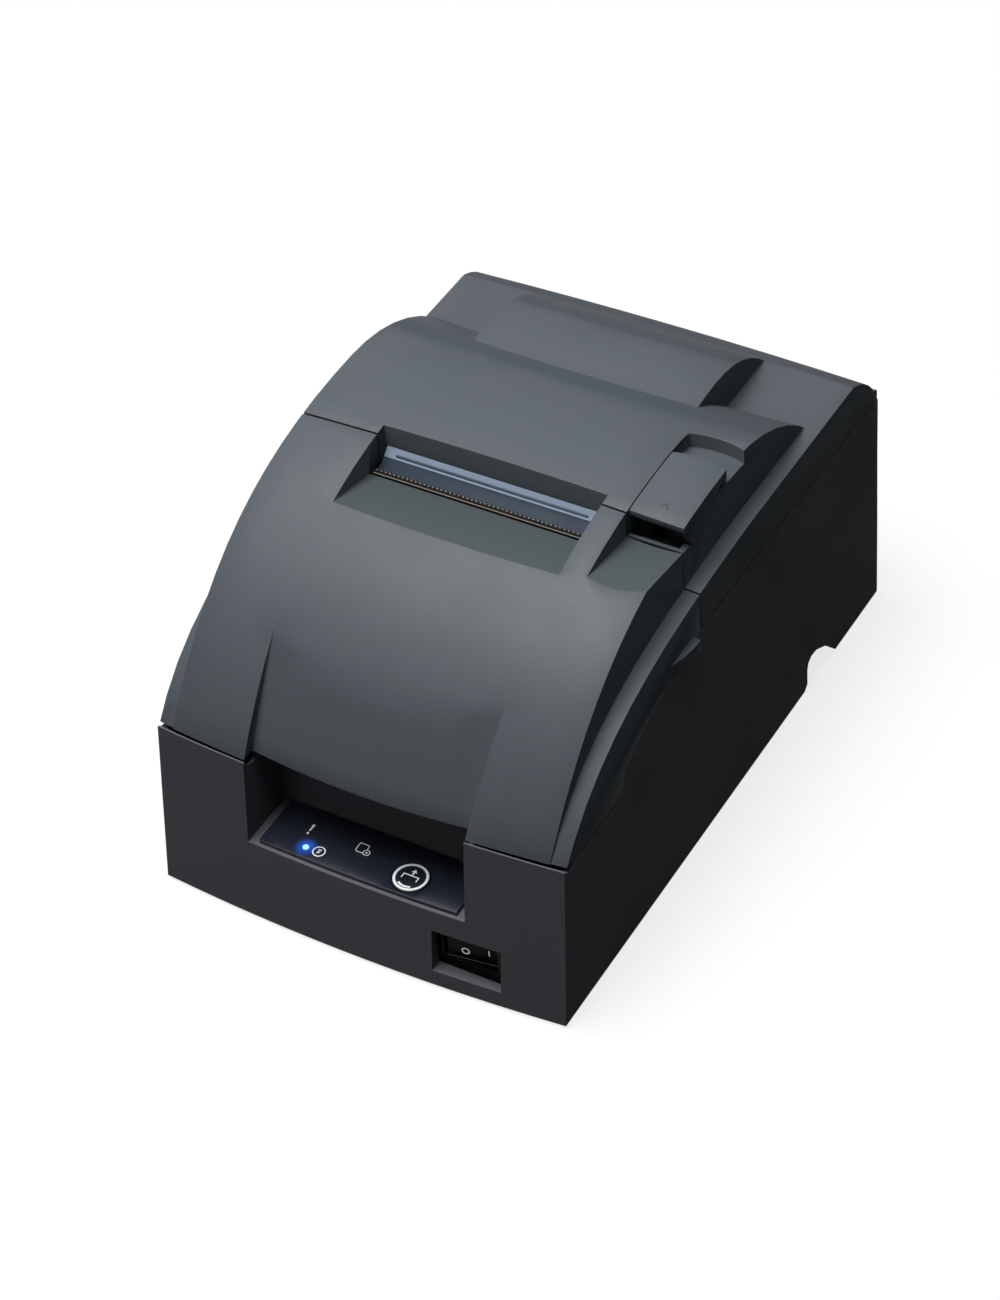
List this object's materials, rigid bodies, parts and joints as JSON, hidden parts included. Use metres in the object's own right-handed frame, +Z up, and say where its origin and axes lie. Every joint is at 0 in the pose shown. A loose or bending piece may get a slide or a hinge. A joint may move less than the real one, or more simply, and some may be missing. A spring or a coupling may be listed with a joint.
{
  "type": "dot matrix receipt printer",
  "caption": "Impact receipt printer with a bowed front cover, a rear paper roll cover with release lever, paper exit, control panel and power switch.",
  "frame": {"origin": "centre of the footprint on the table, under the rubber feet", "axes": "+Z up, front with the control panel at -Y, back at +Y, width along X"},
  "size_m": [0.1644, 0.248, 0.1383],
  "materials": {
    "case_plastic": "fine matte texture",
    "cover_plastic": "fine matte texture",
    "rubber": "matte",
    "panel_film": "satin film",
    "lens_blue": "clear, lit",
    "switch_black": "satin",
    "board_green": "solder mask",
    "chip_black": "moulded",
    "steel": "zinc plated",
    "plated_steel": "brushed, bluish",
    "brass": "satin",
    "motor_metal": "satin can",
    "head_alloy": "die cast",
    "nylon": "moulded",
    "inner_plastic": "fine matte",
    "ribbon_cloth": "inked ribbon"
  },
  "bodies": {
    "base": {"lower_case": "case_plastic", "rubber_feet": "rubber", "latch_stud": "steel", "control_panel": "panel_film", "status_lenses": "lens_blue", "button_board": "board_green", "power_switch_housing": "switch_black", "main_board": "board_green", "board_components": "chip_black", "data_connector": "steel", "drawer_socket": "switch_black", "power_socket": "switch_black", "left_frame": "steel", "right_frame": "steel", "frame_base": "steel", "frame_screws": "steel", "front_rail": "steel", "carriage_shaft": "steel", "carriage_belt": "rubber", "carriage_motor": "motor_metal", "platen": "steel", "paper_guide": "steel", "roller_bushes": "brass", "feed_motor": "motor_metal", "cutter_base": "steel", "cutter_motor": "motor_metal", "exit_frame": "steel", "tear_bar": "brass", "exit_plate": "plated_steel", "ribbon_cassette": "inner_plastic", "ribbon_band": "ribbon_cloth", "paper_bin": "inner_plastic", "near_end_sensor": "inner_plastic"},
    "front_cover_body": {"front_cover": "cover_plastic", "front_hinge_pins": "steel"},
    "roll_cover_body": {"roll_cover": "cover_plastic", "roll_hinge_pins": "steel", "lever_pin": "steel", "cover_bracket": "steel", "fixed_blade": "steel"},
    "lever_body": {"release_lever": "cover_plastic"},
    "hook_body": {"latch_hook": "steel"},
    "button_body": {"feed_button": "panel_film"},
    "rocker_body": {"power_rocker": "switch_black"},
    "carriage_body": {"print_carriage": "inner_plastic", "print_head": "head_alloy"},
    "drive_pulley_body": {"drive_pulley": "steel"},
    "idler_pulley_body": {"idler_pulley": "steel"},
    "feed_roller_body": {"feed_roller": "rubber", "roller_gear": "nylon"},
    "idler_gear_body": {"idler_gear": "nylon"},
    "motor_pinion_body": {"motor_pinion": "brass"},
    "cutter_blade_body": {"cutter_blade": "steel"},
    "pinch_roller_body": {"pinch_roller": "rubber"},
    "ribbon_knob_body": {"ribbon_knob": "inner_plastic"}
  },
  "joints": [
    {"name": "front_cover_hinge", "type": "hinge", "parent": "base", "child": "front_cover_body", "pos_m": [0, -0.1092, 0.0707], "axis": [1, 0, 0], "range_deg": [0, 85]},
    {"name": "roll_cover_hinge", "type": "hinge", "parent": "base", "child": "roll_cover_body", "pos_m": [0, 0.1205, 0.0946], "axis": [-1, 0, 0], "range_deg": [0, 75]},
    {"name": "lever_hinge", "type": "hinge", "parent": "roll_cover_body", "child": "lever_body", "pos_m": [0.062, 0.013, 0.1328], "axis": [-1, 0, 0], "range_deg": [0, 20]},
    {"name": "hook_hinge", "type": "hinge", "parent": "roll_cover_body", "child": "hook_body", "pos_m": [0.0595, 0.003, 0.1215], "axis": [1, 0, 0], "range_deg": [0, 14]},
    {"name": "feed_button_press", "type": "slide", "parent": "base", "child": "button_body", "axis": [0, 0, -1], "range_m": [0, 0.0008], "stiffness_N_per_m": 1200, "springref_m": -0.0002},
    {"name": "power_rocker_hinge", "type": "hinge", "parent": "base", "child": "rocker_body", "pos_m": [0.0432, -0.1133, 0.0178], "axis": [0, 0, -1], "range_deg": [0, 14]},
    {"name": "carriage_slide", "type": "slide", "parent": "base", "child": "carriage_body", "axis": [1, 0, 0], "range_m": [-0.028, 0.028]},
    {"name": "drive_pulley_spin", "type": "hinge", "parent": "base", "child": "drive_pulley_body", "pos_m": [-0.042, -0.064, 0.058], "axis": [0, 1, 0], "range_deg": [-270, 270]},
    {"name": "idler_pulley_spin", "type": "hinge", "parent": "base", "child": "idler_pulley_body", "pos_m": [0.042, -0.064, 0.058], "axis": [0, 1, 0], "range_deg": [-270, 270]},
    {"name": "feed_roller_spin", "type": "hinge", "parent": "base", "child": "feed_roller_body", "pos_m": [0, -0.0186, 0.102], "axis": [1, 0, 0], "continuous": true},
    {"name": "idler_gear_spin", "type": "hinge", "parent": "base", "child": "idler_gear_body", "pos_m": [0.0687, -0.02272, 0.07026], "axis": [1, 0, 0], "continuous": true},
    {"name": "motor_pinion_spin", "type": "hinge", "parent": "base", "child": "motor_pinion_body", "pos_m": [0.0687, -0.026, 0.045], "axis": [1, 0, 0], "continuous": true},
    {"name": "cutter_blade_slide", "type": "slide", "parent": "base", "child": "cutter_blade_body", "axis": [0, 1, 0], "range_m": [0, 0.006]},
    {"name": "pinch_roller_spin", "type": "hinge", "parent": "roll_cover_body", "child": "pinch_roller_body", "pos_m": [0, -0.0093, 0.102], "axis": [1, 0, 0], "continuous": true},
    {"name": "ribbon_knob_spin", "type": "hinge", "parent": "base", "child": "ribbon_knob_body", "pos_m": [-0.038, -0.056, 0.103], "axis": [0, 0, 1], "continuous": true}
  ],
  "couplings": [
    {"joint": "hook_hinge", "follows": "lever_hinge", "ratio": 0.6},
    {"joint": "drive_pulley_spin", "follows": "carriage_slide", "rad_per_m": 166.67},
    {"joint": "idler_pulley_spin", "follows": "carriage_slide", "rad_per_m": 166.67},
    {"joint": "idler_gear_spin", "follows": "feed_roller_spin", "ratio": -0.56604},
    {"joint": "motor_pinion_spin", "follows": "feed_roller_spin", "ratio": 2.3077}
  ]
}
